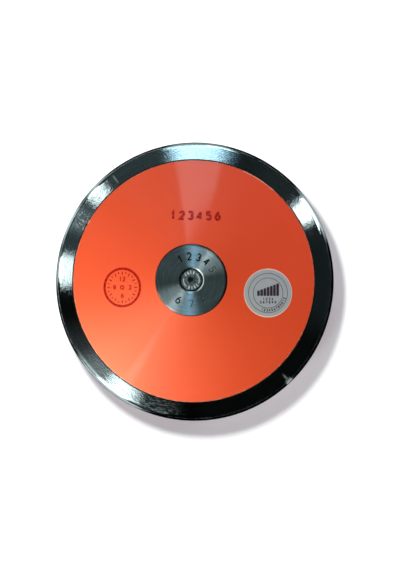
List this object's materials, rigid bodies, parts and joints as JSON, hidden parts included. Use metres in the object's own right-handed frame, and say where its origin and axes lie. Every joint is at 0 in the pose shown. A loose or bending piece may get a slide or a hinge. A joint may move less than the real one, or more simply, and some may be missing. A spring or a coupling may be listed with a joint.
{
  "type": "discus",
  "caption": "Throwing discus: a steel rim with a round edge, two tapered plastic side plates and a bolted steel centre, flat on both faces.",
  "frame": {"origin": "middle of the discus, on its axis and halfway between its two flat faces", "axes": "+Z is the axis of the discus and points out of the front face, +X points to the right of the picture and +Y to its top"},
  "size_m": [0.22, 0.22, 0.045],
  "materials": {
    "rim_steel": "turned and polished steel with fine lines round the axis",
    "side_plate_plastic": "orange moulded plastic, satin, with faint turning lines",
    "centre_plate_steel": "steel turned on its face",
    "screw_steel": "blacked steel",
    "core_steel": "plain turned steel",
    "print_ink": "dark red printing ink",
    "sticker_vinyl": "pale grey vinyl with dark print"
  },
  "bodies": {
    "root": {"rim": "rim_steel", "hub_core": "core_steel", "front_side_plate": "side_plate_plastic", "front_centre_plate": "centre_plate_steel", "front_screw": "screw_steel", "front_trim_washer_1": "core_steel", "front_trim_washer_2": "core_steel", "back_side_plate": "side_plate_plastic", "back_centre_plate": "centre_plate_steel", "back_screw": "screw_steel", "back_trim_washer_1": "core_steel", "back_trim_washer_2": "core_steel"}
  },
  "joints": []
}
